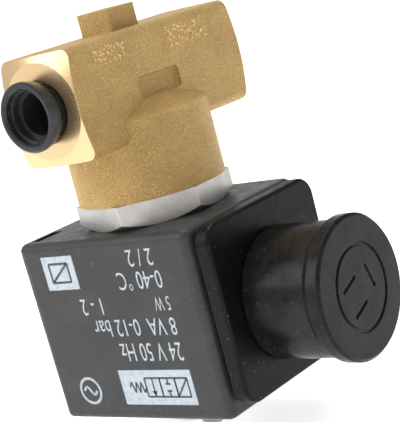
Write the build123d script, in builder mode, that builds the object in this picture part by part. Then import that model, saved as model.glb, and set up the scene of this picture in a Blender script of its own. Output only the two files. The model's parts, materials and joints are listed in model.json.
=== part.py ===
from build123d import *
import os

# Direct-acting two-way solenoid valve, G1/8, with a 30 mm encapsulated coil.
# Frame: +Z runs along the armature tube from the coil to the brass body, +Y out of the
# open outlet port, +X towards the coil's terminal side. The origin is the centre of the
# outlet port's mouth. All lengths are in millimetres.

# ---- driving dimensions ------------------------------------------------------------
bar_length = 41.6          # port face to port face
bar_width = 14.9
bar_height = 17.3
bar_edge_r = 1.6           # rounding along the forged bar
face_circle_r = 7.6        # flat circle on each port face
tube_y = -22.2             # the armature tube's axis, from the outlet face
port_r = 4.283             # G1/8 minor radius
port_depth = 9.5
port_drill_r = 2.8
orifice_r = 1.25
seat_lip_r = 2.0
chamber_r = 12.4
cavity_r = 9.0
hex_flats = 22.5
hex_height = 4.15
hex_chamfer = 1.1
tube_r = 5.0
tube_wall = 0.4
plunger_travel = 1.5
coil_depth = 30.0          # along Y
coil_height = 30.9
coil_left = -19.8
coil_right = 17.4
coil_taper = 0.7           # mould draft in degrees
coil_edge_r = 1.8
flange_size = 29.0         # square plate that carries the terminals
flange_thick = 2.6
cap_r = 10.6
cap_head_r = 11.35
cap_end_x = 35.95
slip = 0.07                # radial running clearance of the sliding and turning fits

# ---- heights along the tube axis ---------------------------------------------------
bar_top = bar_height / 2
ledge_z = -4.6             # top of the round chamber
coil_top = -21.8
hex_top = coil_top + hex_height
coil_bottom = coil_top - coil_height
cavity_top = -9.5
seat_z = -11.5
plunger_bottom = seat_z - 21.5
core_top = plunger_bottom - plunger_travel
tube_top = hex_top + 4.4
tube_bottom = coil_bottom + 0.4
stud_r = 2.5
stud_tip = coil_top - 37.9
pad_height = 3.7           # forged pad above the bar
pad_size = 6.9

cap_z = coil_top - 15.1    # axis of the terminals and their cap
flange_z = coil_top - 14.4

os.makedirs("parts", exist_ok=True)
tube_axis = Axis((0, tube_y, 0), (0, 0, 1))
cap_axis = Axis((0, tube_y, cap_z), (1, 0, 0))
tube_section = Plane(origin=(0, tube_y, 0), x_dir=(1, 0, 0), z_dir=(0, -1, 0))
cap_section = Plane(origin=(0, tube_y, cap_z), x_dir=(1, 0, 0), z_dir=(0, -1, 0))
inlet_section = Plane(origin=(0, -bar_length, 0), x_dir=(1, 0, 0), z_dir=(0, 0, 1))


def level(z):
    """Horizontal plane at height z, centred on the armature tube's axis."""
    return Plane(origin=(0, tube_y, z), x_dir=(1, 0, 0), z_dir=(0, 0, 1))


def facing_plane(y):
    """Plane at distance y whose normal points along +Y and whose x runs along +X."""
    return Plane(origin=(0, y, 0), x_dir=(1, 0, 0), z_dir=(0, 1, 0))


def side_plane(x, z=0.0):
    """Plane at x, centred on the tube axis at height z, whose normal points along +X."""
    return Plane(origin=(x, tube_y, z), x_dir=(0, 1, 0), z_dir=(1, 0, 0))


def turned(profile, section=tube_section, axis=tube_axis, mode=Mode.ADD):
    """Revolve a closed profile of (radius, height) points inside the open part."""
    with BuildSketch(section) as outline:
        with BuildLine():
            Polyline(*profile, close=True)
        make_face()
    revolve(outline.sketch, axis=axis, mode=mode)


def ring(inner_r, outer_r, low, high):
    """Plain ring around the tube axis."""
    with BuildSketch(level(low)) as section:
        Circle(outer_r)
        Circle(inner_r, mode=Mode.SUBTRACT)
    extrude(section.sketch, amount=high - low)


def o_ring(mean_r, cord_r, z):
    """Rubber ring of round section around the tube axis."""
    with BuildSketch(tube_section) as section:
        with Locations((mean_r, z)):
            Circle(cord_r)
    revolve(section.sketch, axis=tube_axis)


def hexagon(flats, low, high, chamfer_height, angle, ends):
    """Hexagon around the tube axis whose corners are turned off at the named ends."""
    with BuildSketch(level(low)) as section:
        RegularPolygon(flats / 2, 6, major_radius=False, rotation=angle)
    extrude(section.sketch, amount=high - low)
    outside = flats
    slope = chamfer_height / (flats / 2 * (2 / 3 ** 0.5 - 1))
    rise = slope * (outside - flats / 2)
    if "low" in ends:
        turned([(flats / 2, low), (outside, low), (outside, low + rise)], mode=Mode.SUBTRACT)
    if "high" in ends:
        turned([(flats / 2, high), (outside, high), (outside, high - rise)], mode=Mode.SUBTRACT)


# ---- forged brass body -------------------------------------------------------------
shoulder_z = -2.4          # where the chamber's sloping shoulder meets the bar
ledge_break = 0.4          # bevel on the chamber's upper edge
pad_corner_r = 0.6
recess_length = 10.6       # shallow forged recess on the +X side
recess_height = 3.7
recess_depth = 0.6
recess_z = -0.85
cross_drill_r = 1.8
nozzle_base_r = 3.6
counterbore_r = 10.35      # seat for the O-ring under the hexagon
counterbore_depth = 1.3
cross_drill_y = tube_y - 6.2
face_fall = 0.3            # how far a port face falls back per millimetre outside its circle
face_reach = 6.0           # beyond the bar's corners
port_mouth_r = 5.0         # countersink of the inlet port

with BuildPart() as valve_body:
    with BuildSketch(facing_plane(-bar_length)):
        RectangleRounded(bar_width, bar_height, bar_edge_r)
    extrude(amount=bar_length)
    # round chamber below the bar, with a sloping shoulder above its ledge
    turned([
        (0, hex_top),
        (chamber_r, hex_top),
        (chamber_r, ledge_z - ledge_break),
        (chamber_r - ledge_break, ledge_z),
        (bar_width / 2, shoulder_z),
        (0, shoulder_z),
    ])
    # rectangular pad on top
    with BuildSketch(level(bar_top - 0.5)):
        RectangleRounded(pad_size, pad_size, pad_corner_r)
    extrude(amount=pad_height + 0.5)
    # each port face is flat inside a circle and falls back towards the bar's corners
    for face_y, inward in ((-bar_length, 1), (0, -1)):
        turned(
            [
                (face_circle_r, 0),
                (face_circle_r + face_reach, 0),
                (face_circle_r + face_reach, inward * face_fall * face_reach),
            ],
            section=Plane(origin=(0, face_y, 0), x_dir=(1, 0, 0), z_dir=(0, 0, 1)),
            axis=Axis.Y,
            mode=Mode.SUBTRACT,
        )
    # shallow forged recess on the +X side
    with BuildSketch(side_plane(bar_width / 2, recess_z)):
        RectangleRounded(recess_length, recess_height, 1.3 * recess_depth)
    extrude(amount=-recess_depth, taper=25, mode=Mode.SUBTRACT)
    # threaded ports and the drillings behind them
    with BuildSketch(facing_plane(0)):
        Circle(port_r)
    extrude(amount=-port_depth, mode=Mode.SUBTRACT)
    with BuildSketch(facing_plane(0)):
        Circle(port_drill_r)
    extrude(amount=tube_y - 1.6, mode=Mode.SUBTRACT)
    with BuildSketch(facing_plane(-bar_length)):
        Circle(port_r)
    extrude(amount=port_depth, mode=Mode.SUBTRACT)
    turned(
        [(0, 0), (port_mouth_r, 0), (port_r, port_mouth_r - port_r), (0, port_mouth_r - port_r)],
        section=inlet_section,
        axis=Axis.Y,
        mode=Mode.SUBTRACT,
    )
    with BuildSketch(facing_plane(-bar_length)):
        Circle(port_drill_r)
    extrude(amount=bar_length + cross_drill_y + 1.4, mode=Mode.SUBTRACT)
    # valve chamber, open towards the coil
    with BuildSketch(level(hex_top)):
        Circle(cavity_r)
    extrude(amount=cavity_top - hex_top, mode=Mode.SUBTRACT)
    with BuildSketch(level(hex_top)):
        Circle(counterbore_r)
    extrude(amount=counterbore_depth, mode=Mode.SUBTRACT)
    # seat nozzle with its orifice, and the inlet's passage beside it
    turned([
        (0, cavity_top + 0.5),
        (nozzle_base_r, cavity_top + 0.5),
        (nozzle_base_r, cavity_top),
        (seat_lip_r, seat_z),
        (0, seat_z),
    ])
    with BuildSketch(level(0)):
        Circle(orifice_r)
        with Locations((0, cross_drill_y - tube_y)):
            Circle(cross_drill_r)
    extrude(amount=seat_z, mode=Mode.SUBTRACT)

valve_body.part.label = "valve_body"
export_step(valve_body.part, "parts/valve_body.step")

# ---- hollow plug that protects the inlet thread -------------------------------------
plug_out = 3.9             # how far the plug stands out of the port face
plug_rim_r = 5.5
plug_rim_thick = 1.4
plug_waist_r = plug_rim_r - 0.25
plug_back = 1.4            # from the port face to the back of the plug's head
plug_shank_r = port_r - slip
plug_in = 6.0
plug_mouth_r = 4.3
plug_step_r = 3.95
plug_bore_r = 3.4
plug_step = 1.4            # depth of each of the two steps in the mouth
plug_floor = 0.9
plug_round = 0.35          # breaks the plug's corners

with BuildPart() as port_plug:
    turned(
        [
            (0, plug_in - plug_floor),
            (plug_bore_r, plug_in - plug_floor),
            (plug_bore_r, -plug_out + 2 * plug_step),
            (plug_step_r, -plug_out + 2 * plug_step),
            (plug_step_r, -plug_out + plug_step),
            (plug_mouth_r, -plug_out + plug_step),
            (plug_mouth_r, -plug_out + plug_round),
            (plug_mouth_r + plug_round, -plug_out),
            (plug_rim_r - plug_round, -plug_out),
            (plug_rim_r, -plug_out + plug_round),
            (plug_rim_r, -plug_out + plug_rim_thick - plug_round),
            (plug_waist_r, -plug_out + plug_rim_thick),
            (plug_waist_r, -plug_back - plug_round),
            (plug_waist_r - plug_round, -plug_back),
            (plug_shank_r, -plug_back),
            (plug_shank_r, plug_in - 2 * plug_round),
            (plug_shank_r - 2 * plug_round, plug_in),
            (0, plug_in),
        ],
        section=inlet_section,
        axis=Axis.Y,
    )

port_plug.part.label = "port_plug"
export_step(port_plug.part, "parts/port_plug.step")

# ---- hexagonal tube base and its seal -----------------------------------------------
hex_angle = 43.0           # turn of the hexagon's corners from +X
spigot_r = cavity_r - slip

with BuildPart() as tube_base:
    hexagon(hex_flats, coil_top, hex_top, hex_chamfer, hex_angle, ["low"])
    with BuildSketch(level(hex_top)):
        Circle(spigot_r)
    extrude(amount=tube_top - hex_top)
    with BuildSketch(level(coil_top)):
        Circle(tube_r)
    extrude(amount=tube_top - coil_top, mode=Mode.SUBTRACT)

tube_base.part.label = "tube_base"
export_step(tube_base.part, "parts/tube_base.step")

with BuildPart() as base_oring:
    o_ring((spigot_r + counterbore_r) / 2, 0.6, hex_top + 0.62)

base_oring.part.label = "base_oring"
export_step(base_oring.part, "parts/base_oring.step")

# ---- armature tube, fixed core and its shading ring ---------------------------------
tube_inner_r = tube_r - tube_wall
shading_inner_r = 2.9
shading_outer_r = 3.5
shading_depth = 0.8

with BuildPart() as armature_tube:
    ring(tube_inner_r, tube_r, tube_bottom, tube_top)

armature_tube.part.label = "armature_tube"
export_step(armature_tube.part, "parts/armature_tube.step")

with BuildPart() as fixed_core:
    turned([
        (0, core_top),
        (tube_inner_r - 0.3, core_top),
        (tube_inner_r, core_top - 0.3),
        (tube_inner_r, tube_bottom),
        (stud_r, tube_bottom),
        (stud_r, stud_tip + stud_r),
        (0, stud_tip + stud_r),
    ])
    # the stud ends in a dome
    with BuildSketch(tube_section):
        with BuildLine():
            CenterArc((0, stud_tip + stud_r), stud_r, -90, 90)
            Polyline((stud_r, stud_tip + stud_r), (0, stud_tip + stud_r), (0, stud_tip))
        make_face()
    revolve(axis=tube_axis)
    with BuildSketch(level(core_top)):
        Circle(shading_outer_r)
        Circle(shading_inner_r, mode=Mode.SUBTRACT)
    extrude(amount=-shading_depth, mode=Mode.SUBTRACT)

fixed_core.part.label = "fixed_core"
export_step(fixed_core.part, "parts/fixed_core.step")

with BuildPart() as shading_ring:
    ring(shading_inner_r, shading_outer_r, core_top - shading_depth, core_top)

shading_ring.part.label = "shading_ring"
export_step(shading_ring.part, "parts/shading_ring.step")

# ---- plunger, its seal and the return spring ----------------------------------------
plunger_r = tube_inner_r - slip
seal_r = 3.3
seal_proud = 0.3           # the seal stands above the plunger's end
seal_thick = 2.0
spring_bore_r = 2.3
spring_bore_depth = 9.0
spring_r = 1.75
spring_wire_r = 0.2
spring_turns = 8
groove_width = 1.4         # flow grooves down the plunger's sides
groove_depth = 0.7

with BuildPart() as plunger:
    turned([
        (0, plunger_bottom),
        (plunger_r - 0.4, plunger_bottom),
        (plunger_r, plunger_bottom + 0.4),
        (plunger_r, seat_z - seal_proud - 0.4),
        (plunger_r - 0.4, seat_z - seal_proud),
        (0, seat_z - seal_proud),
    ])
    with BuildSketch(level(seat_z)):
        Circle(seal_r)
    extrude(amount=-seal_thick, mode=Mode.SUBTRACT)
    with BuildSketch(level(plunger_bottom)):
        Circle(spring_bore_r)
    extrude(amount=spring_bore_depth, mode=Mode.SUBTRACT)
    with BuildSketch(level(plunger_bottom)):
        with PolarLocations(plunger_r, 2):
            Rectangle(2 * groove_depth, groove_width)
    extrude(amount=seat_z - plunger_bottom, mode=Mode.SUBTRACT)

plunger.part.label = "plunger"
export_step(plunger.part, "parts/plunger.step")

with BuildPart() as plunger_seal:
    with BuildSketch(level(seat_z)):
        Circle(seal_r)
    extrude(amount=-seal_thick)

plunger_seal.part.label = "plunger_seal"
export_step(plunger_seal.part, "parts/plunger_seal.step")

spring_length = spring_bore_depth + plunger_travel - 2 * spring_wire_r
spring_foot = core_top + spring_wire_r

with BuildPart() as return_spring:
    with BuildLine(level(spring_foot)) as spring_path:
        Helix(pitch=spring_length / spring_turns, height=spring_length, radius=spring_r)
    with BuildSketch(Plane(origin=spring_path.line @ 0, z_dir=spring_path.line % 0)):
        Circle(spring_wire_r)
    sweep(is_frenet=True)

return_spring.part.label = "return_spring"
export_step(return_spring.part, "parts/return_spring.step")

# ---- coil housing: moulded block, neck and terminal flange --------------------------
wall = 2.4                 # thickness of the housing's top and left walls
room_left = coil_left + wall
room_right = coil_right - 3.0
top_fillet = 1.3
bottom_fillet = 1.0
neck_r = 2.4
flange_r = 3.2
flange_front_fillet = 0.6
flange_back_fillet = 0.3
gate_x = -16.9             # gate pocket in the top face, from the tube axis
gate_y = -9.8
gate_size = (1.9, 5.8)
gate_depth = 1.0
room_depth = 26.6
cover_thick = 1.6
flange_x = 20.9            # outer face of the terminal flange
neck_size = 25.6
spigot_height = 1.8        # boss that the cap pushes onto
cap_bore_r = 9.47
blade_thick = 0.8
blade_width = 6.3
blade_pitch = 11.0         # between the two power blades
power_blade_y = -1.0
ground_blade_y = 7.0
blade_end_x = 31.0
blade_start_x = coil_right - 5.2
blade_chamfer = 0.25
insert_r = 2.2
insert_bore_r = 1.25
insert_start_x = coil_right - 0.4
oring_recess_r = 7.0
oring_recess_depth = 1.05


def power_blades(start_x, end_x, mode=Mode.ADD):
    """The two power blades between two planes square to X."""
    with BuildSketch(side_plane(start_x, cap_z)) as section:
        with Locations((power_blade_y, 0)):
            with GridLocations(0, blade_pitch, 1, 2):
                Rectangle(blade_width, blade_thick)
    extrude(section.sketch, amount=end_x - start_x, mode=mode)


def ground_blade(start_x, end_x, mode=Mode.ADD):
    """The ground blade between two planes square to X."""
    with BuildSketch(side_plane(start_x, cap_z)) as section:
        with Locations((ground_blade_y, 0)):
            Rectangle(blade_thick, blade_width)
    extrude(section.sketch, amount=end_x - start_x, mode=mode)


with BuildPart() as coil_housing:
    with BuildSketch(level(coil_top)):
        with Locations(((coil_left + coil_right) / 2, 0)):
            RectangleRounded(coil_right - coil_left, coil_depth, coil_edge_r)
    extrude(amount=-coil_height, taper=coil_taper)
    fillet(coil_housing.faces().sort_by(Axis.Z)[-1].edges(), top_fillet)
    fillet(coil_housing.faces().sort_by(Axis.Z)[0].edges(), bottom_fillet)
    with BuildSketch(side_plane(coil_right - 2, flange_z)):
        RectangleRounded(neck_size, neck_size, neck_r)
    extrude(amount=flange_x - flange_thick + 0.6 - coil_right + 2)
    with BuildPart(mode=Mode.PRIVATE) as flange:
        with BuildSketch(side_plane(flange_x - flange_thick, flange_z)):
            RectangleRounded(flange_size, flange_size, flange_r)
        extrude(amount=flange_thick)
        fillet(flange.faces().sort_by(Axis.X)[-1].edges(), flange_front_fillet)
        fillet(flange.faces().sort_by(Axis.X)[0].edges(), flange_back_fillet)
    add(flange.part)
    with BuildSketch(side_plane(flange_x, cap_z)):
        Circle(cap_bore_r - slip)
    extrude(amount=spigot_height)
    # room for the winding, open at the bottom
    with BuildSketch(level(coil_bottom)):
        with Locations(((room_left + room_right) / 2, 0)):
            Rectangle(room_right - room_left, room_depth)
    extrude(amount=coil_height - wall, mode=Mode.SUBTRACT)
    # bore for the armature tube with a recess for the O-ring
    with BuildSketch(level(coil_top - wall)):
        Circle(tube_r + slip)
    extrude(amount=wall, mode=Mode.SUBTRACT)
    with BuildSketch(level(coil_top)):
        Circle(oring_recess_r)
    extrude(amount=-oring_recess_depth, mode=Mode.SUBTRACT)
    # slots for the blades and the screw insert
    power_blades(room_right - 1, flange_x + spigot_height, mode=Mode.SUBTRACT)
    ground_blade(room_right - 1, flange_x + spigot_height, mode=Mode.SUBTRACT)
    with BuildSketch(side_plane(insert_start_x, cap_z)):
        Circle(insert_r)
    extrude(amount=flange_x + spigot_height - insert_start_x, mode=Mode.SUBTRACT)
    # gate pocket at the left of the top face
    with BuildSketch(level(coil_top)):
        with Locations((gate_x, gate_y)):
            RectangleRounded(*gate_size, 0.3 * gate_size[0])
    extrude(amount=-gate_depth, mode=Mode.SUBTRACT)

coil_housing.part.label = "coil_housing"
export_step(coil_housing.part, "parts/coil_housing.step")

with BuildPart() as coil_cover:
    with BuildSketch(level(coil_bottom)):
        with Locations(((room_left + room_right) / 2, 0)):
            Rectangle(room_right - room_left, room_depth)
        Circle(tube_r + slip, mode=Mode.SUBTRACT)
    extrude(amount=cover_thick)
    with BuildSketch(level(coil_bottom)):
        Circle(oring_recess_r)
    extrude(amount=oring_recess_depth, mode=Mode.SUBTRACT)

coil_cover.part.label = "coil_cover"
export_step(coil_cover.part, "parts/coil_cover.step")

for seal_name, seal_height in (
    ("upper_tube_oring", coil_top - 0.55),
    ("lower_tube_oring", coil_bottom + 0.55),
):
    with BuildPart() as tube_oring:
        o_ring(6.0, 0.5, seal_height)
    tube_oring.part.label = seal_name
    export_step(tube_oring.part, f"parts/{seal_name}.step")

# ---- magnetic circuit: yoke, its end plate and the flux sleeves ---------------------
yoke_left = -13.0
yoke_right = 11.0
yoke_thick = 2.0
leg_thick = 1.5
yoke_top = coil_top - wall
yoke_bottom = coil_bottom + cover_thick
leg_outer = room_depth / 2
sleeve_r = 5.95

with BuildPart() as yoke_frame:
    with BuildSketch(level(yoke_top)):
        with Locations(((yoke_left + yoke_right) / 2, 0)):
            Rectangle(yoke_right - yoke_left, 2 * leg_outer)
    extrude(amount=-yoke_thick)
    with BuildSketch(level(yoke_top)):
        with Locations(((yoke_left + yoke_right) / 2, 0)):
            with GridLocations(0, 2 * leg_outer - leg_thick, 1, 2):
                Rectangle(yoke_right - yoke_left, leg_thick)
    extrude(amount=yoke_bottom - yoke_top)
    with BuildSketch(level(yoke_top)):
        Circle(sleeve_r)
    extrude(amount=-yoke_thick, mode=Mode.SUBTRACT)

yoke_frame.part.label = "yoke_frame"
export_step(yoke_frame.part, "parts/yoke_frame.step")

with BuildPart() as yoke_plate:
    with BuildSketch(level(yoke_bottom)):
        with Locations(((yoke_left + yoke_right) / 2, 0)):
            Rectangle(yoke_right - yoke_left, 2 * (leg_outer - leg_thick))
        Circle(sleeve_r, mode=Mode.SUBTRACT)
    extrude(amount=yoke_thick)

yoke_plate.part.label = "yoke_plate"
export_step(yoke_plate.part, "parts/yoke_plate.step")

with BuildPart() as flux_sleeves:
    ring(tube_r + slip, sleeve_r, yoke_top - 8.5, yoke_top)
    ring(tube_r + slip, sleeve_r, yoke_bottom, yoke_bottom + 8.5)

flux_sleeves.part.label = "flux_sleeves"
export_step(flux_sleeves.part, "parts/flux_sleeves.step")

# ---- bobbin, winding and its wrap ----------------------------------------------------
bobbin_inner_r = 6.0
bobbin_tube_r = 6.8
bobbin_flange_r = 11.5
bobbin_flange_thick = 1.0
winding_r = 10.9
wrap_r = 11.2
bobbin_top = yoke_top - yoke_thick
bobbin_bottom = yoke_bottom + yoke_thick

with BuildPart() as bobbin:
    ring(bobbin_inner_r, bobbin_tube_r, bobbin_bottom, bobbin_top)
    ring(bobbin_inner_r, bobbin_flange_r, bobbin_bottom, bobbin_bottom + bobbin_flange_thick)
    ring(bobbin_inner_r, bobbin_flange_r, bobbin_top - bobbin_flange_thick, bobbin_top)

bobbin.part.label = "bobbin"
export_step(bobbin.part, "parts/bobbin.step")

winding_low = bobbin_bottom + bobbin_flange_thick
winding_high = bobbin_top - bobbin_flange_thick

with BuildPart() as winding:
    ring(bobbin_tube_r, winding_r, winding_low, winding_high)

winding.part.label = "winding"
export_step(winding.part, "parts/winding.step")

with BuildPart() as winding_wrap:
    ring(winding_r, wrap_r, winding_low, winding_high)

winding_wrap.part.label = "winding_wrap"
export_step(winding_wrap.part, "parts/winding_wrap.step")

# ---- terminals, screw insert and the push-on cap -------------------------------------
with BuildPart() as power_terminals:
    power_blades(blade_start_x, blade_end_x)
    blade_tips = power_terminals.faces().group_by(Axis.X)[-1].edges()
    chamfer(blade_tips.filter_by(Axis.Y), blade_chamfer)

power_terminals.part.label = "power_terminals"
export_step(power_terminals.part, "parts/power_terminals.step")

with BuildPart() as ground_terminal:
    ground_blade(blade_start_x, blade_end_x)
    chamfer(ground_terminal.faces().sort_by(Axis.X)[-1].edges().filter_by(Axis.Z), blade_chamfer)

ground_terminal.part.label = "ground_terminal"
export_step(ground_terminal.part, "parts/ground_terminal.step")

with BuildPart() as screw_insert:
    with BuildSketch(side_plane(insert_start_x, cap_z)):
        Circle(insert_r)
        Circle(insert_bore_r, mode=Mode.SUBTRACT)
    extrude(amount=flange_x + spigot_height - insert_start_x)

screw_insert.part.label = "screw_insert"
export_step(screw_insert.part, "parts/screw_insert.step")

cap_face_gap = 0.1         # between the cap's skirt and the flange
head_thick = 2.3
head_start_x = cap_end_x - head_thick
cap_roof_x = cap_end_x - 2.6
mark_ring_r = 7.0          # engraved ring on the cap's head
mark_line = 0.7           # width of the engraved lines
mark_depth = 0.3
mark_turn = 20             # degrees
mark_slot = 4.2            # length of the three engraved slots
mark_slot_gap = 2.4        # from the head's centre to each slot

with BuildPart() as terminal_cap:
    turned(
        [
            (flange_x + cap_face_gap, cap_bore_r),
            (cap_roof_x, cap_bore_r),
            (cap_roof_x, 0),
            (cap_end_x, 0),
            (cap_end_x, cap_head_r - 0.5),
            (cap_end_x - 0.5, cap_head_r),
            (head_start_x, cap_head_r),
            (head_start_x - 1.1, cap_r),
            (flange_x + cap_face_gap + 0.3, cap_r),
            (flange_x + cap_face_gap, cap_r - 0.3),
        ],
        section=cap_section,
        axis=cap_axis,
    )
    # engraved ring and the pattern of the three blades
    with BuildSketch(side_plane(cap_end_x, cap_z)):
        Circle(mark_ring_r)
        Circle(mark_ring_r - mark_line, mode=Mode.SUBTRACT)
    extrude(amount=-mark_depth, mode=Mode.SUBTRACT)
    with BuildSketch(side_plane(cap_end_x, cap_z)):
        with Locations(Location((0, 0, 0), (0, 0, mark_turn))):
            with Locations((-mark_slot_gap, mark_slot_gap), (-mark_slot_gap, -mark_slot_gap)):
                Rectangle(mark_slot, mark_line)
            with Locations((1.2 * mark_slot_gap, 0)):
                Rectangle(mark_line, mark_slot)
    extrude(amount=-mark_depth, mode=Mode.SUBTRACT)

terminal_cap.part.label = "terminal_cap"
export_step(terminal_cap.part, "parts/terminal_cap.step")

# ---- nut and lock washer that hold the coil on ---------------------------------------
washer_thick = 0.6
washer_r = 6.2
washer_gap = 0.7
nut_chamfer = 0.5
nut_angle = 12
nut_height = 3.0
nut_flats = 13.0
nut_top = coil_bottom - washer_thick

with BuildPart() as lock_washer:
    ring(stud_r + 2 * slip, washer_r, nut_top, coil_bottom)
    # the washer is split
    with BuildSketch(level(nut_top)):
        with Locations((washer_r / 2 + stud_r / 2, 0)):
            Rectangle(washer_r, washer_gap)
    extrude(amount=washer_thick, mode=Mode.SUBTRACT)

lock_washer.part.label = "lock_washer"
export_step(lock_washer.part, "parts/lock_washer.step")

with BuildPart() as coil_nut:
    hexagon(nut_flats, nut_top - nut_height, nut_top, nut_chamfer, nut_angle, ["low", "high"])
    with BuildSketch(level(nut_top)):
        Circle(stud_r + slip)
    extrude(amount=-nut_height, mode=Mode.SUBTRACT)

coil_nut.part.label = "coil_nut"
export_step(coil_nut.part, "parts/coil_nut.step")
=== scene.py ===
import json
import math

import bmesh
import bpy
import numpy as np
from mathutils import Matrix, Vector
from mathutils.bvhtree import BVHTree


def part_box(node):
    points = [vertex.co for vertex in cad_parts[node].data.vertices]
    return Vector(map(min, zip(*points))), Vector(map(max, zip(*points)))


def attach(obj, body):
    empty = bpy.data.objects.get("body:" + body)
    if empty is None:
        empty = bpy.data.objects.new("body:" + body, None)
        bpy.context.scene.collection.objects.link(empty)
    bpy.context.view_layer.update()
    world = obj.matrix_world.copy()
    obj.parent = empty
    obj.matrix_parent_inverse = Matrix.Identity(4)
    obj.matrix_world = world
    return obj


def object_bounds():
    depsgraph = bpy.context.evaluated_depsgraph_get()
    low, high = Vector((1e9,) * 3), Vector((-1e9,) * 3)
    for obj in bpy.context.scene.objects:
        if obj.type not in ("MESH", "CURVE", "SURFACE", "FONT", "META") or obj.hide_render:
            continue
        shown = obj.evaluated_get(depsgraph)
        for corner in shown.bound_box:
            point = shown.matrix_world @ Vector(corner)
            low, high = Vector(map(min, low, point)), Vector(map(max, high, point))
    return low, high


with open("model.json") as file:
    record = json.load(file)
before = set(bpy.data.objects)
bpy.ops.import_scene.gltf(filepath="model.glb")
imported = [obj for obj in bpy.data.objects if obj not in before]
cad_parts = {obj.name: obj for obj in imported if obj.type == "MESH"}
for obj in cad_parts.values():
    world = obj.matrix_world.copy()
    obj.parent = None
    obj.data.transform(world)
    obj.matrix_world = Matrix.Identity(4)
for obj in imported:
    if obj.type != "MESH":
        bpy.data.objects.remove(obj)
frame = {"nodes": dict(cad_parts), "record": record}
cad_low, cad_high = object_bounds()
MM = 0.001

# ---- places taken from the frame ----------------------------------------------------
BODY_LOW, BODY_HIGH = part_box("valve_body")
TUBE_LOW, TUBE_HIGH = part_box("armature_tube")
COIL_LOW, COIL_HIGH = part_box("coil_housing")

TUBE_X = (TUBE_LOW.x + TUBE_HIGH.x) / 2
TUBE_Y = (TUBE_LOW.y + TUBE_HIGH.y) / 2
COIL_TOP = COIL_HIGH.z
FLANGE_X = 18.2 * MM            # where the coil's terminal flange starts, and the painted shade on it
BODY_SIDE_X = 7.45 * MM         # the brass bar's side, half its width from the middle
PORT = frame["record"]["mounts"][0]["dims"]
PORT_R = PORT["r_mm"] * MM
PORT_DEPTH = PORT["length_mm"] * MM


# ---- camera, floor and light --------------------------------------------------------
CAMERA_AZIMUTH = math.radians(40.78)
CAMERA_ELEVATION = math.radians(10.28)
CAMERA_ROLL = math.radians(-14.79)
CAMERA_OFFSET = Vector((154.35, -168.91, 39.6)) * MM   # from the tube's axis at the coil's top
CAMERA_LENS = 119.9
CAMERA_SENSOR = 36
CAMERA_CLIP = (0.005, 100)
SKY_BRIGHT_SIDE = (-0.5, -0.6, 0.7)
SKY_DIM = 0.05
SKY_FULL = 0.8
BACKDROP_START = 0.88           # cosine of the angle from straight behind the object
BACKDROP_FULL = 0.94
BAND_STRENGTH = 0.75
BAND_FULL = 0.10                # sine of the angle above the floor's far edge
BAND_END = 0.16
LIGHT_TARGET = (0.005, TUBE_Y, -0.025)
FLOOR_SIZE = 30.0
FLOOR_GAP = 0.0002
FLOOR_GLOW = 0.7


def make_camera():
    """Camera facing the printed side and the terminals, tilted about its line of sight."""
    flat = math.cos(CAMERA_ELEVATION)
    back = Vector((
        math.sin(CAMERA_AZIMUTH) * flat,
        -math.cos(CAMERA_AZIMUTH) * flat,
        math.sin(CAMERA_ELEVATION),
    ))
    right = Vector((0, 0, 1)).cross(back).normalized()
    up = back.cross(right)
    cos_roll, sin_roll = math.cos(CAMERA_ROLL), math.sin(CAMERA_ROLL)
    rolled_right = right * cos_roll + up * sin_roll
    rolled_up = up * cos_roll - right * sin_roll
    data = bpy.data.cameras.new("camera")
    data.lens = CAMERA_LENS
    data.sensor_width = CAMERA_SENSOR
    data.clip_start, data.clip_end = CAMERA_CLIP
    camera = bpy.data.objects.new("camera", data)
    bpy.context.scene.collection.objects.link(camera)
    turn = Matrix((rolled_right, rolled_up, back)).transposed().to_4x4()
    place = Vector((TUBE_X, TUBE_Y, COIL_TOP)) + CAMERA_OFFSET
    camera.matrix_world = Matrix.Translation(place) @ turn
    bpy.context.scene.camera = camera


def area_light(name, place, size, power):
    """Soft square light at a place in metres, pointed at the object."""
    data = bpy.data.lights.new(name, "AREA")
    data.shape = "SQUARE"
    data.size = size
    data.energy = power
    light = bpy.data.objects.new(name, data)
    bpy.context.scene.collection.objects.link(light)
    light.location = place
    light.rotation_mode = "QUATERNION"
    aim = Vector(LIGHT_TARGET) - Vector(place)
    light.rotation_quaternion = aim.to_track_quat("-Z", "Y")


def sky_range(tree, source, low, high, out_low=0.0, out_high=1.0, smooth=False):
    """Values between low and high, spread over a new range and clamped."""
    node = tree.nodes.new("ShaderNodeMapRange")
    if smooth:
        node.interpolation_type = "SMOOTHSTEP"
    limits = ("From Min", "From Max", "To Min", "To Max")
    for socket, value in zip(limits, (low, high, out_low, out_high)):
        node.inputs[socket].default_value = value
    tree.links.new(source, node.inputs["Value"])
    return node.outputs["Result"]


def sky_along(tree, direction, axis):
    """How far each direction of the sky points along an axis, from -1 to 1."""
    node = tree.nodes.new("ShaderNodeVectorMath")
    node.operation = "DOT_PRODUCT"
    node.inputs[1].default_value = axis
    tree.links.new(direction, node.inputs[0])
    return node.outputs["Value"]


def sky_brighter(tree, first, second):
    """The brighter of two values."""
    node = tree.nodes.new("ShaderNodeMath")
    node.operation = "MAXIMUM"
    tree.links.new(first, node.inputs[0])
    tree.links.new(second, node.inputs[1])
    return node.outputs["Value"]


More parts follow.
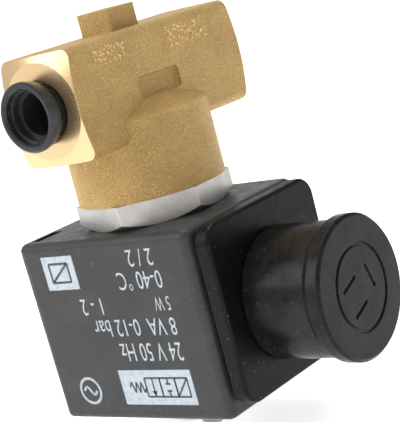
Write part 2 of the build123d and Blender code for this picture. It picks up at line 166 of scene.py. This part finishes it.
def make_studio():
    """White surroundings that fade towards the terminal side, and soft lights."""
    world = bpy.data.worlds.new("studio")
    bpy.context.scene.world = world
    world.use_nodes = True
    tree = world.node_tree
    direction = tree.nodes.new("ShaderNodeTexCoord").outputs["Generated"]
    lit_from = sky_along(tree, direction, Vector(SKY_BRIGHT_SIDE).normalized())
    strength = sky_range(tree, lit_from, -1.0, 1.0, SKY_DIM, SKY_FULL, smooth=True)
    # white backdrop straight behind the object
    straight = (-math.sin(CAMERA_AZIMUTH), math.cos(CAMERA_AZIMUTH), 0)
    behind = sky_along(tree, direction, straight)
    backdrop = sky_range(tree, behind, BACKDROP_START, BACKDROP_FULL)
    strength = sky_brighter(tree, strength, backdrop)
    # pale band all round, just above the floor's far edge
    upward = sky_along(tree, direction, (0, 0, 1))
    band = sky_range(tree, upward, BAND_FULL, BAND_END, BAND_STRENGTH, 0.0)
    strength = sky_brighter(tree, strength, band)
    sky = tree.nodes["Background"]
    sky.inputs["Color"].default_value = (1, 1, 1, 1)
    tree.links.new(strength, sky.inputs["Strength"])
    area_light("key", (-0.28, -0.50, 0.38), 0.40, 2.4)
    area_light("top", (0.02, 0.10, 0.50), 0.40, 1.7)
    area_light("rim", (0.35, 0.25, 0.25), 0.15, 0.1)
    bpy.context.scene.view_settings.view_transform = "Standard"


def make_floor():
    """Wide pale floor, level with the object's lowest point."""
    mesh = bpy.data.meshes.new("floor")
    z = cad_low.z - FLOOR_GAP
    signs = ((-1, -1), (1, -1), (1, 1), (-1, 1))
    corners = [(x * FLOOR_SIZE, y * FLOOR_SIZE, z) for x, y in signs]
    mesh.from_pydata(corners, [], [(0, 1, 2, 3)])
    floor = bpy.data.objects.new("floor", mesh)
    bpy.context.scene.collection.objects.link(floor)
    finish = Finish("floor_paint", (0.9, 0.9, 0.9), 0.7)
    finish.set("Emission Color", (1, 1, 1, 1))
    finish.set("Emission Strength", FLOOR_GLOW)
    mesh.materials.append(finish.material)


# ---- materials ----------------------------------------------------------------------
EDGE_ROUNDING = 0.22 * MM
EDGE_NONE = 0.995               # agreement of rounded and true normals, off and on an edge
EDGE_FULL = 0.9


class Finish:
    """A Principled material whose detail comes from position in the row frame."""

    def __init__(self, name, colour, roughness, metallic=0.0):
        self.material = bpy.data.materials.new(name)
        self.material.use_nodes = True
        self.tree = self.material.node_tree
        self.shader = self.tree.nodes["Principled BSDF"]
        self.set("Base Color", (*colour, 1))
        self.set("Roughness", roughness)
        self.set("Metallic", metallic)
        self.place = self.add("ShaderNodeTexCoord").outputs["Object"]
        self.rounding = self.add("ShaderNodeBevel", samples=4)
        self.rounding.inputs["Radius"].default_value = EDGE_ROUNDING
        self.join(self.rounding.outputs["Normal"], self.shader.inputs["Normal"])

    def set(self, socket, value):
        """A constant on one of the shader's own sockets."""
        self.shader.inputs[socket].default_value = value

    def add(self, kind, **settings):
        """A new node with its settings."""
        node = self.tree.nodes.new(kind)
        for key, value in settings.items():
            setattr(node, key, value)
        return node

    def join(self, source, target):
        """A link between two sockets."""
        self.tree.links.new(source, target)

    def noise(self, grain_mm, detail=2.0, rough=0.5, stretch=None):
        """Noise whose lumps are about grain_mm across."""
        node = self.add("ShaderNodeTexNoise")
        node.inputs["Scale"].default_value = 1 / (grain_mm * MM)
        node.inputs["Detail"].default_value = detail
        node.inputs["Roughness"].default_value = rough
        place = self.place
        if stretch:
            mapping = self.add("ShaderNodeMapping")
            mapping.inputs["Scale"].default_value = stretch
            self.join(place, mapping.inputs["Vector"])
            place = mapping.outputs["Vector"]
        self.join(place, node.inputs["Vector"])
        return node.outputs["Fac"]

    def span(self, source, low, high, out_low=0.0, out_high=1.0):
        """Values between low and high, spread over a new range and clamped."""
        node = self.add("ShaderNodeMapRange")
        limits = ("From Min", "From Max", "To Min", "To Max")
        for socket, value in zip(limits, (low, high, out_low, out_high)):
            node.inputs[socket].default_value = value
        self.join(source, node.inputs["Value"])
        return node.outputs["Result"]

    def combine(self, first, second, operation="ADD"):
        """Two values combined by an operation."""
        node = self.add("ShaderNodeMath", operation=operation)
        for socket, value in zip(node.inputs, (first, second)):
            if isinstance(value, (int, float)):
                socket.default_value = value
            else:
                self.join(value, socket)
        return node.outputs["Value"]

    def blend(self, factor, first, second):
        """A colour between two colours, either of which may be a socket."""
        node = self.add("ShaderNodeMix", data_type="RGBA")
        self.join(factor, node.inputs[0])
        for socket, value in zip((node.inputs[6], node.inputs[7]), (first, second)):
            if isinstance(value, tuple):
                socket.default_value = (*value, 1)
            else:
                self.join(value, socket)
        return node.outputs[2]

    def drive(self, source, socket):
        """A varying value on one of the shader's sockets."""
        self.join(source, self.shader.inputs[socket])

    def bump(self, height, depth_mm, strength=1.0):
        """Relief of the given depth; a second call adds to the first."""
        node = self.add("ShaderNodeBump")
        node.inputs["Distance"].default_value = depth_mm * MM
        node.inputs["Strength"].default_value = strength
        self.join(height, node.inputs["Height"])
        before = self.shader.inputs["Normal"].links
        if before:
            self.join(before[0].from_socket, node.inputs["Normal"])
        self.join(node.outputs["Normal"], self.shader.inputs["Normal"])

    def edges(self):
        """Near 1 along outer and inner edges, 0 on flat faces."""
        true = self.add("ShaderNodeNewGeometry").outputs["Normal"]
        dot = self.add("ShaderNodeVectorMath", operation="DOT_PRODUCT")
        self.join(self.rounding.outputs["Normal"], dot.inputs[0])
        self.join(true, dot.inputs[1])
        return self.span(dot.outputs["Value"], EDGE_NONE, EDGE_FULL)

    def axes(self):
        """Position's three parts in the row frame, in metres."""
        node = self.add("ShaderNodeSeparateXYZ")
        self.join(self.place, node.inputs[0])
        return node.outputs


FACE_FULL = 2.2 * MM            # turned port faces: how deep from the bar's ends
FACE_END = 2.6 * MM
FACE_SQUARE = (0.93, 0.95)      # how square to the bar a turned face is
RING_PITCH = 0.32 * MM
RECESS_Z = -0.85 * MM           # forged recess in the bar's side
RECESS_DEEP = (0.62 * MM, 0.5 * MM)
RECESS_BACK = (0.9 * MM, 0.8 * MM)
RECESS_LONG = (5.0 * MM, 5.4 * MM)
RECESS_HIGH = (1.8 * MM, 2.0 * MM)


def turned_share(finish, x, y, z):
    """1 on the port faces at the bar's two ends, 0 elsewhere; and fine rings on them."""
    facing = finish.add("ShaderNodeSeparateXYZ")
    finish.join(finish.add("ShaderNodeNewGeometry").outputs["Normal"], facing.inputs[0])
    squareness = finish.combine(facing.outputs[1], 0, "ABSOLUTE")
    square_on = finish.span(squareness, *FACE_SQUARE)
    near = finish.span(y, BODY_LOW.y + FACE_FULL, BODY_LOW.y + FACE_END, 1, 0)
    far = finish.span(y, BODY_HIGH.y - FACE_END, BODY_HIGH.y - FACE_FULL, 0, 1)
    turned = finish.combine(finish.combine(near, far), square_on, "MULTIPLY")
    x_part = finish.combine(x, x, "MULTIPLY")
    z_part = finish.combine(z, z, "MULTIPLY")
    radius = finish.combine(finish.combine(x_part, z_part), 0.5, "POWER")
    phase = finish.combine(radius, 2 * math.pi / RING_PITCH, "MULTIPLY")
    rings = finish.combine(phase, 0, "SINE")
    return turned, finish.combine(rings, turned, "MULTIPLY")


def recess_share(finish, x, y, z):
    """1 in the recess on the bar's terminal side, 0 elsewhere; used to paint shade into the
    recess.
    """
    deep = finish.span(x, BODY_SIDE_X - RECESS_DEEP[0], BODY_SIDE_X - RECESS_DEEP[1], 1, 0)
    front = finish.span(x, BODY_SIDE_X - RECESS_BACK[0], BODY_SIDE_X - RECESS_BACK[1])
    from_middle = finish.combine(finish.combine(y, -TUBE_Y), 0, "ABSOLUTE")
    beside = finish.span(from_middle, *RECESS_LONG, 1, 0)
    from_level = finish.combine(finish.combine(z, -RECESS_Z), 0, "ABSOLUTE")
    level = finish.span(from_level, *RECESS_HIGH, 1, 0)
    inside = finish.combine(beside, level, "MULTIPLY")
    return finish.combine(finish.combine(deep, front, "MULTIPLY"), inside, "MULTIPLY")


def brass_finish():
    """Granular forged brass, with bright turned port faces, painted shade in the recess and
    rubbed edges lightened with painted highlight.
    """
    finish = Finish("forged_brass", (0.42, 0.27, 0.11), 0.5, metallic=0.85)
    x, y, z = finish.axes()
    turned, rings = turned_share(finish, x, y, z)
    forged_share = finish.combine(1.0, turned, "SUBTRACT")
    recess = recess_share(finish, x, y, z)
    patches = finish.span(finish.noise(5.0, 3), 0.35, 0.65)
    grains = finish.span(finish.noise(0.2, 3, 0.6), 0.3, 0.7)
    forged = finish.blend(patches, (0.51, 0.335, 0.128), (0.44, 0.29, 0.108))
    layers = (
        (finish.span(grains, 0.0, 0.35, 0.7, 0), (0.26, 0.17, 0.065)),
        (finish.span(grains, 0.6, 1.0, 0, 0.7), (0.90, 0.68, 0.32)),
        # painted shade: the recess is darkened
        (finish.combine(recess, 0.15, "MULTIPLY"), (0.36, 0.27, 0.12)),
        # lighter brass along edges: partly rubbed wear, partly painted highlight
        (finish.combine(finish.edges(), 0.5, "MULTIPLY"), (0.85, 0.65, 0.33)),
    )
    for share, tone in layers:
        forged = finish.blend(share, forged, tone)
    finish.drive(finish.blend(turned, forged, (0.66, 0.475, 0.26)), "Base Color")
    forged_rough = finish.span(grains, 0, 1, 0.60, 0.36)
    rough = finish.combine(
        finish.combine(forged_rough, forged_share, "MULTIPLY"),
        finish.combine(turned, 0.27, "MULTIPLY"),
    )
    finish.drive(rough, "Roughness")
    finish.bump(finish.combine(grains, forged_share, "MULTIPLY"), 0.12, 1.0)
    finish.bump(rings, 0.002, 0.5)
    return finish.material


def mark_finish():
    """Brass rubbed bright on the raised marks."""
    finish = Finish("rubbed_brass", (0.80, 0.60, 0.30), 0.42, metallic=0.9)
    finish.drive(finish.span(finish.noise(0.3, 2), 0.3, 0.7, 0.34, 0.54), "Roughness")
    finish.bump(finish.noise(0.15, 2), 0.03, 0.6)
    return finish.material


def nickel_finish():
    """Satin nickel plate, warmer in dull patches and bright along its edges."""
    finish = Finish("nickel_plate", (0.42, 0.42, 0.41), 0.3, metallic=0.75)
    patches = finish.span(finish.noise(3.0, 3, 0.6), 0.4, 0.7)
    plate = finish.blend(patches, (0.47, 0.46, 0.44), (0.43, 0.40, 0.365))
    rubbed = finish.combine(finish.edges(), 0.6, "MULTIPLY")
    plate = finish.blend(rubbed, plate, (0.72, 0.70, 0.67))
    finish.drive(plate, "Base Color")
    finish.drive(finish.span(patches, 0, 1, 0.34, 0.4), "Roughness")
    return finish.material


def plastic_finish(name, colour, dust, roughness, dust_share=0.35, gloss=0.25, painted_shade_from=None):
    """Dark moulded plastic with fine grain, rubbed edges lightened with painted highlight,
    handling marks and specks of dust; painted shade darkens the part beyond a given x.
    """
    finish = Finish(name, colour, roughness)
    finish.set("Specular IOR Level", gloss)
    haze = finish.span(finish.noise(6.0, 4, 0.6), 0.4, 0.75, 0, dust_share)
    specks = finish.span(finish.noise(0.5, 1, 0.4), 0.72, 0.77, 0, 0.55)
    tone = finish.blend(haze, colour, dust)
    # painted shade: past the given x the plastic is painted near black and its reflection is
    # dimmed
    if painted_shade_from:
        beyond = finish.span(finish.axes()[0], painted_shade_from - 0.1 * MM, painted_shade_from)
        depth = finish.combine(beyond, 0.9, "MULTIPLY")
        tone = finish.blend(depth, tone, (0.001, 0.001, 0.001))
        finish.drive(finish.span(beyond, 0, 1, gloss, 0.5 * gloss), "Specular IOR Level")
    # edges lightened towards the dust colour: partly rubbed wear, partly painted highlight
    tone = finish.blend(finish.combine(finish.edges(), 0.5, "MULTIPLY"), tone, dust)
    tone = finish.blend(specks, tone, tuple(2 * part for part in dust))
    finish.drive(tone, "Base Color")
    uneven = finish.noise(1.6, 3)
    finish.drive(finish.span(uneven, 0.3, 0.7, roughness - 0.06, roughness + 0.1), "Roughness")
    finish.bump(finish.noise(0.12, 2), 0.008, 0.7)
    return finish.material


def metal_finish(name, colour, roughness, stretch=(1, 1, 9)):
    """Turned or drawn metal with fine marks along one direction."""
    finish = Finish(name, colour, roughness, metallic=1.0)
    marks = finish.noise(0.35, 3, 0.6, stretch=stretch)
    finish.drive(finish.span(marks, 0.3, 0.7, roughness - 0.08, roughness + 0.1), "Roughness")
    darker = tuple(0.8 * part for part in colour)
    patches = finish.span(finish.noise(3, 3), 0.4, 0.7)
    finish.drive(finish.blend(patches, colour, darker), "Base Color")
    finish.bump(marks, 0.008, 0.6)
    return finish.material


def dress_cad_nodes():
    """Every carried-over CAD node gets its finish."""
    # coil plastic with painted shade on its terminal flange side, from FLANGE_X on
    coil = plastic_finish(
        "coil_plastic", (0.033, 0.033, 0.034), (0.062, 0.062, 0.062), 0.38, painted_shade_from=FLANGE_X
    )
    steel = metal_finish("stainless", (0.55, 0.54, 0.52), 0.3)
    core = metal_finish("core_steel", (0.36, 0.31, 0.27), 0.42)
    zinc = metal_finish("zinc_plate", (0.55, 0.55, 0.53), 0.34, stretch=(1, 1, 1))
    rubber = plastic_finish("seal_rubber", (0.02, 0.02, 0.02), (0.06, 0.06, 0.06), 0.6)
    nylon = plastic_finish("bobbin_nylon", (0.62, 0.58, 0.5), (0.7, 0.67, 0.6), 0.45)
    copper = metal_finish("winding_copper", (0.55, 0.24, 0.10), 0.35)
    tape = plastic_finish("winding_tape", (0.62, 0.5, 0.15), (0.7, 0.6, 0.3), 0.35)
    plug = plastic_finish(
        "plug_plastic", (0.018, 0.02, 0.021), (0.06, 0.06, 0.06), 0.26, dust_share=0.3
    )
    cap = plastic_finish(
        "cap_plastic", (0.006, 0.006, 0.006), (0.05, 0.046, 0.042), 0.25,
        dust_share=0.4, gloss=0.12,
    )
    finishes = {
        "valve_body": brass_finish(),
        "port_plug": plug,
        "tube_base": nickel_finish(),
        "coil_housing": coil,
        "coil_cover": coil,
        "armature_tube": steel,
        "plunger": steel,
        "return_spring": steel,
        "fixed_core": core,
        "shading_ring": copper,
        "winding": copper,
        "winding_wrap": tape,
        "bobbin": nylon,
        "yoke_frame": zinc,
        "yoke_plate": zinc,
        "flux_sleeves": zinc,
        "lock_washer": zinc,
        "coil_nut": zinc,
        "power_terminals": metal_finish("tinned_blades", (0.66, 0.65, 0.62), 0.28),
        "ground_terminal": metal_finish("tinned_ground", (0.66, 0.65, 0.62), 0.28),
        "screw_insert": metal_finish("insert_brass", (0.66, 0.48, 0.2), 0.3),
        "terminal_cap": cap,
    }
    for node in ("base_oring", "upper_tube_oring", "lower_tube_oring", "plunger_seal"):
        finishes[node] = rubber
    for node, finish in finishes.items():
        mesh = frame["nodes"][node].data
        mesh.materials.clear()
        mesh.materials.append(finish)


# ---- raised print and marks ---------------------------------------------------------
RAY_START = 0.1                 # metres above the sheet, outside the whole object
MOUND_SUNK = -0.02
MOUND_TOP_SHARE = 0.45
INK_HIGH = 0.03
LINE_HIGH = 0.045               # dark lines stand above the white fields they cross
LINE = 0.32
THICK_LINE = 0.4


def new_piece(name, mesh, material):
    """A new object from a mesh, with its material."""
    bmesh.ops.recalc_face_normals(mesh, faces=mesh.faces)
    data = bpy.data.meshes.new(name)
    mesh.to_mesh(data)
    mesh.free()
    data.materials.append(material)
    piece = bpy.data.objects.new(name, data)
    bpy.context.scene.collection.objects.link(piece)
    return piece


class Relief:
    """Shapes raised on one side of a CAD node, gathered into one mesh.

    A shape is drawn in millimetres on a flat sheet; to_row turns a sheet point into a
    point of the row frame, which is then laid on the node along the sheet's normal.
    """

    def __init__(self, name, node, normal, to_row):
        self.name = name
        self.mesh = bmesh.new()
        self.normal = Vector(normal)
        self.to_row = to_row
        scene_now = bpy.context.evaluated_depsgraph_get()
        self.surface = BVHTree.FromObject(frame["nodes"][node], scene_now)

    def lay(self, a, b, height):
        """The point above sheet point (a, b), a height above the node's surface."""
        start = self.to_row(a, b) + self.normal * RAY_START
        hit = self.surface.ray_cast(start, -self.normal)[0]
        return (hit or self.to_row(a, b)) + self.normal * height * MM

    def wrap(self, bottom, top):
        """A closed solid between two loops of vertices."""
        self.mesh.faces.new(top)
        self.mesh.faces.new(list(reversed(bottom)))
        count = len(top)
        for i in range(count):
            j = (i + 1) % count
            self.mesh.faces.new((bottom[i], bottom[j], top[j], top[i]))

    def prism(self, outline, low, high):
        """A closed shape with straight sides between two heights."""
        bottom = [self.mesh.verts.new(self.lay(a, b, low)) for a, b in outline]
        top = [self.mesh.verts.new(self.lay(a, b, high)) for a, b in outline]
        self.wrap(bottom, top)

    def mound(self, outline, middle, height):
        """A low uneven bump with a small flat top."""
        base = [self.mesh.verts.new(self.lay(a, b, MOUND_SUNK)) for a, b in outline]
        top = []
        for a, b in outline:
            inner_a = middle[0] + MOUND_TOP_SHARE * (a - middle[0])
            inner_b = middle[1] + MOUND_TOP_SHARE * (b - middle[1])
            top.append(self.mesh.verts.new(self.lay(inner_a, inner_b, height)))
        self.wrap(base, top)

    def stroke(self, start, end, width, low, high):
        """A straight line of the given width."""
        along = Vector((end[0] - start[0], end[1] - start[1])).normalized()
        side = Vector((-along.y, along.x)) * width / 2
        ends = (Vector(start), Vector(end))
        outline = [ends[0] - side, ends[1] - side, ends[1] + side, ends[0] + side]
        self.prism([tuple(point) for point in outline], low, high)

    def path(self, points, width, low, high):
        """Strokes through a list of points."""
        for start, end in zip(points, points[1:]):
            self.stroke(start, end, width, low, high)

    def circle(self, centre, radius, width, low, high, steps=36):
        """A ring made of short strokes."""
        points = []
        for i in range(steps + 1):
            turn = 2 * math.pi * i / steps
            across, up = radius * math.cos(turn), radius * math.sin(turn)
            points.append((centre[0] + across, centre[1] + up))
        self.path(points, width, low, high)

    def text(self, words, left, right, bottom, top, height):
        """Words stretched to fill a box on the sheet."""
        curve = bpy.data.curves.new("words", "FONT")
        curve.body = words
        curve.extrude = 0.5
        curve.offset = -0.002
        curve.resolution_u = 3
        holder = bpy.data.objects.new("words", curve)
        letters = bpy.data.meshes.new_from_object(holder)
        places = np.array([v.co for v in letters.vertices])
        low, high = places.min(0), places.max(0)
        verts = []
        for place in places:
            share = (place - low) / (high - low)
            a = left + share[0] * (right - left)
            b = bottom + share[1] * (top - bottom)
            verts.append(self.mesh.verts.new(self.lay(a, b, share[2] * height)))
        for face in letters.polygons:
            corners = [verts[i] for i in face.vertices]
            if not self.mesh.faces.get(corners):
                self.mesh.faces.new(corners)
        bpy.data.objects.remove(holder)
        bpy.data.curves.remove(curve)
        bpy.data.meshes.remove(letters)

    def finish(self, body, slot, material):
        """The gathered shapes as one piece, riding on a body."""
        piece = new_piece(self.name, self.mesh, material)
        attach(piece, body)


def ink_finish(name, colour, worn):
    """Printed ink, thin and patchy where it is worn."""
    finish = Finish(name, colour, 0.5)
    patches = finish.span(finish.noise(0.9, 4, 0.7), 0.45, 0.75)
    finish.drive(finish.blend(patches, colour, worn), "Base Color")
    finish.bump(finish.noise(0.1, 2), 0.01, 0.5)
    return finish.material


def coil_sheet(a, b):
    """Sheet of the printed side, whose words read with the coil's bottom upwards."""
    return Vector((TUBE_X - a * MM, COIL_LOW.y, COIL_TOP - b * MM))


def rectangle(left, right, low, high):
    """The corners of a rectangle on the sheet."""
    return [(left, low), (right, low), (right, high), (left, high)]


def print_ratings():
    """White print: ratings, two plain fields and the sign for alternating current."""
    white = Relief("coil_print", "coil_housing", (0, -1, 0), coil_sheet)
    # the words, then the left, right, bottom and top of their box
    words = (
        ("24 V 50 Hz", -10.6, 2.4, 17.7, 20.8),
        ("8 VA  0-12 bar", -10.8, 6.8, 13.6, 16.5),
        ("5 W", -10.8, -7.6, 10.1, 12.4),
        ("1 - 2", 3.7, 8.35, 9.9, 12.7),
        ("0-40 \u00b0C", -10.5, -1.2, 5.8, 8.9),
        ("2 / 2", -9.8, -4.5, 2.2, 5.0),
    )
    for words_line in words:
        white.text(*words_line, INK_HIGH)
    white.prism(rectangle(-10.95, 4.4, 22.3, 28.3), 0, INK_HIGH)
    white.prism(rectangle(7.4, 14.55, 2.3, 8.1), 0, INK_HIGH)
    # alternating current: a wave in a circle
    centre = (11.8, 25.9)
    white.circle(centre, 2.2, 0.5, 0, INK_HIGH)
    wave = []
    for i in range(13):
        rise = 0.7 * math.sin(math.pi * i / 6)
        wave.append((centre[0] + 1.4 * (i / 6 - 1), centre[1] + rise))
    white.path(wave, 0.45, 0, INK_HIGH)
    ink = ink_finish("white_ink", (0.42, 0.48, 0.53), (0.27, 0.30, 0.33))
    white.finish("coil", "coil_plastic", ink)


def print_symbols():
    """Dark lines on the white fields: a valve symbol and a coil symbol."""
    dark = Relief("coil_print_lines", "coil_housing", (0, -1, 0), coil_sheet)
    # valve symbol: solenoid, closed square, open square, spring
    low, high, middle = 23.7, 26.9, 25.3
    lefts = (-9.9, -7.3, -4.1, -0.9)
    for left, right in zip(lefts, lefts[1:]):
        corners = rectangle(left, right, low, high)
        dark.path(corners + corners[:1], LINE, 0, LINE_HIGH)
    dark.stroke((lefts[0], low), (lefts[1], high), LINE, 0, LINE_HIGH)
    for edge, inward in ((low, 1), (high, -1)):
        stem = (lefts[1] + lefts[2]) / 2
        end = edge + inward * 1.0
        dark.stroke((stem, edge), (stem, end), LINE, 0, LINE_HIGH)
        dark.stroke((stem - 0.5, end), (stem + 0.5, end), LINE, 0, LINE_HIGH)
    stem = (lefts[2] + lefts[3]) / 2
    dark.stroke((stem, low), (stem, high), LINE, 0, LINE_HIGH)
    arrow = [(stem - 0.55, high - 1.0), (stem + 0.55, high - 1.0), (stem, high)]
    dark.prism(arrow, 0, LINE_HIGH)
    swings = (0, 0.9, -0.9, 0.9, -0.9, 0.9, -0.9, 0)
    spring = [(lefts[3] + 0.5 * i, middle + swing) for i, swing in enumerate(swings)]
    dark.path(spring, LINE, 0, LINE_HIGH)
    # coil symbol on the second white field
    corners = rectangle(8.9, 13.1, 3.6, 6.8)
    dark.path(corners + corners[:1], THICK_LINE, 0, LINE_HIGH)
    dark.stroke(corners[0], corners[2], THICK_LINE, 0, LINE_HIGH)
    ink = ink_finish("dark_ink", (0.03, 0.033, 0.036), (0.10, 0.11, 0.12))
    dark.finish("coil", "coil_plastic", ink)


def body_sheet(a, b):
    """Sheet of the brass body's terminal side: a along +Y from the tube axis, b up."""
    return Vector((BODY_SIDE_X, TUBE_Y + a * MM, b * MM))


MARK_ROWS = ((-13.4, -6.2, 4.6, 7.2), (4.2, 14.6, 3.9, 7.2))    # left, right, low, high
MARKS_PER_MM = 9
MARK_CORNERS = 5


def forge_marks():
    """Worn forging marks: two rows of small uneven bumps."""
    rng = np.random.default_rng(7)
    marks = Relief("forging_marks", "valve_body", (1, 0, 0), body_sheet)
    for left, right, low, high in MARK_ROWS:
        for _ in range(int((right - left) * MARKS_PER_MM)):
            a = rng.uniform(left, right)
            b = rng.uniform(low, high)
            size = rng.uniform(0.16, 0.34)
            turn = rng.uniform(0, 2 * math.pi)
            outline = []
            for i in range(MARK_CORNERS):
                angle = turn + 2 * math.pi * i / MARK_CORNERS
                across = size * rng.uniform(0.7, 1.1) * math.cos(angle)
                up = size * rng.uniform(0.7, 1.1) * math.sin(angle)
                outline.append((a + across, b + up))
            marks.mound(outline, (a, b), rng.uniform(0.06, 0.16))
    marks.finish("root", "forged_brass", mark_finish())


THREAD_PITCH = 0.907 * MM
THREAD_DEEP = 0.28 * MM
THREAD_ROOT_OVERLAP = 0.02 * MM
THREAD_START = 0.4 * MM
THREAD_STEPS = 32
THREAD_FOOT = 0.40              # half widths, as shares of the pitch
THREAD_CREST = 0.08


def outlet_thread():
    """Pipe thread inside the open port: one ridge wound along the wall."""
    wall = PORT_R + THREAD_ROOT_OVERLAP
    crest = PORT_R - THREAD_DEEP
    profile = (
        (THREAD_FOOT, wall),
        (THREAD_CREST, crest),
        (-THREAD_CREST, crest),
        (-THREAD_FOOT, wall),
    )
    total = (int(PORT_DEPTH / THREAD_PITCH) - 1) * THREAD_STEPS
    mesh = bmesh.new()
    rows = []
    for i in range(total + 1):
        angle = 2 * math.pi * i / THREAD_STEPS
        middle = BODY_HIGH.y - THREAD_START - THREAD_PITCH * i / THREAD_STEPS
        fade = min(1.0, i / THREAD_STEPS, (total - i) / THREAD_STEPS)
        row = []
        for offset, radius in profile:
            r = wall + (radius - wall) * fade
            y = middle + offset * THREAD_PITCH
            row.append(mesh.verts.new((r * math.cos(angle), y, r * math.sin(angle))))
        rows.append(row)
    for first, second in zip(rows, rows[1:]):
        for k in range(3):
            mesh.faces.new((first[k], first[k + 1], second[k + 1], second[k]))
        mesh.faces.new((first[3], first[0], second[0], second[3]))
    mesh.faces.new(rows[0])
    mesh.faces.new(list(reversed(rows[-1])))
    cut_brass = metal_finish("cut_brass", (0.80, 0.60, 0.30), 0.28)
    piece = new_piece("outlet_thread", mesh, cut_brass)
    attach(piece, "root")


make_camera()
make_studio()
make_floor()
dress_cad_nodes()
print_ratings()
print_symbols()
forge_marks()
outlet_thread()
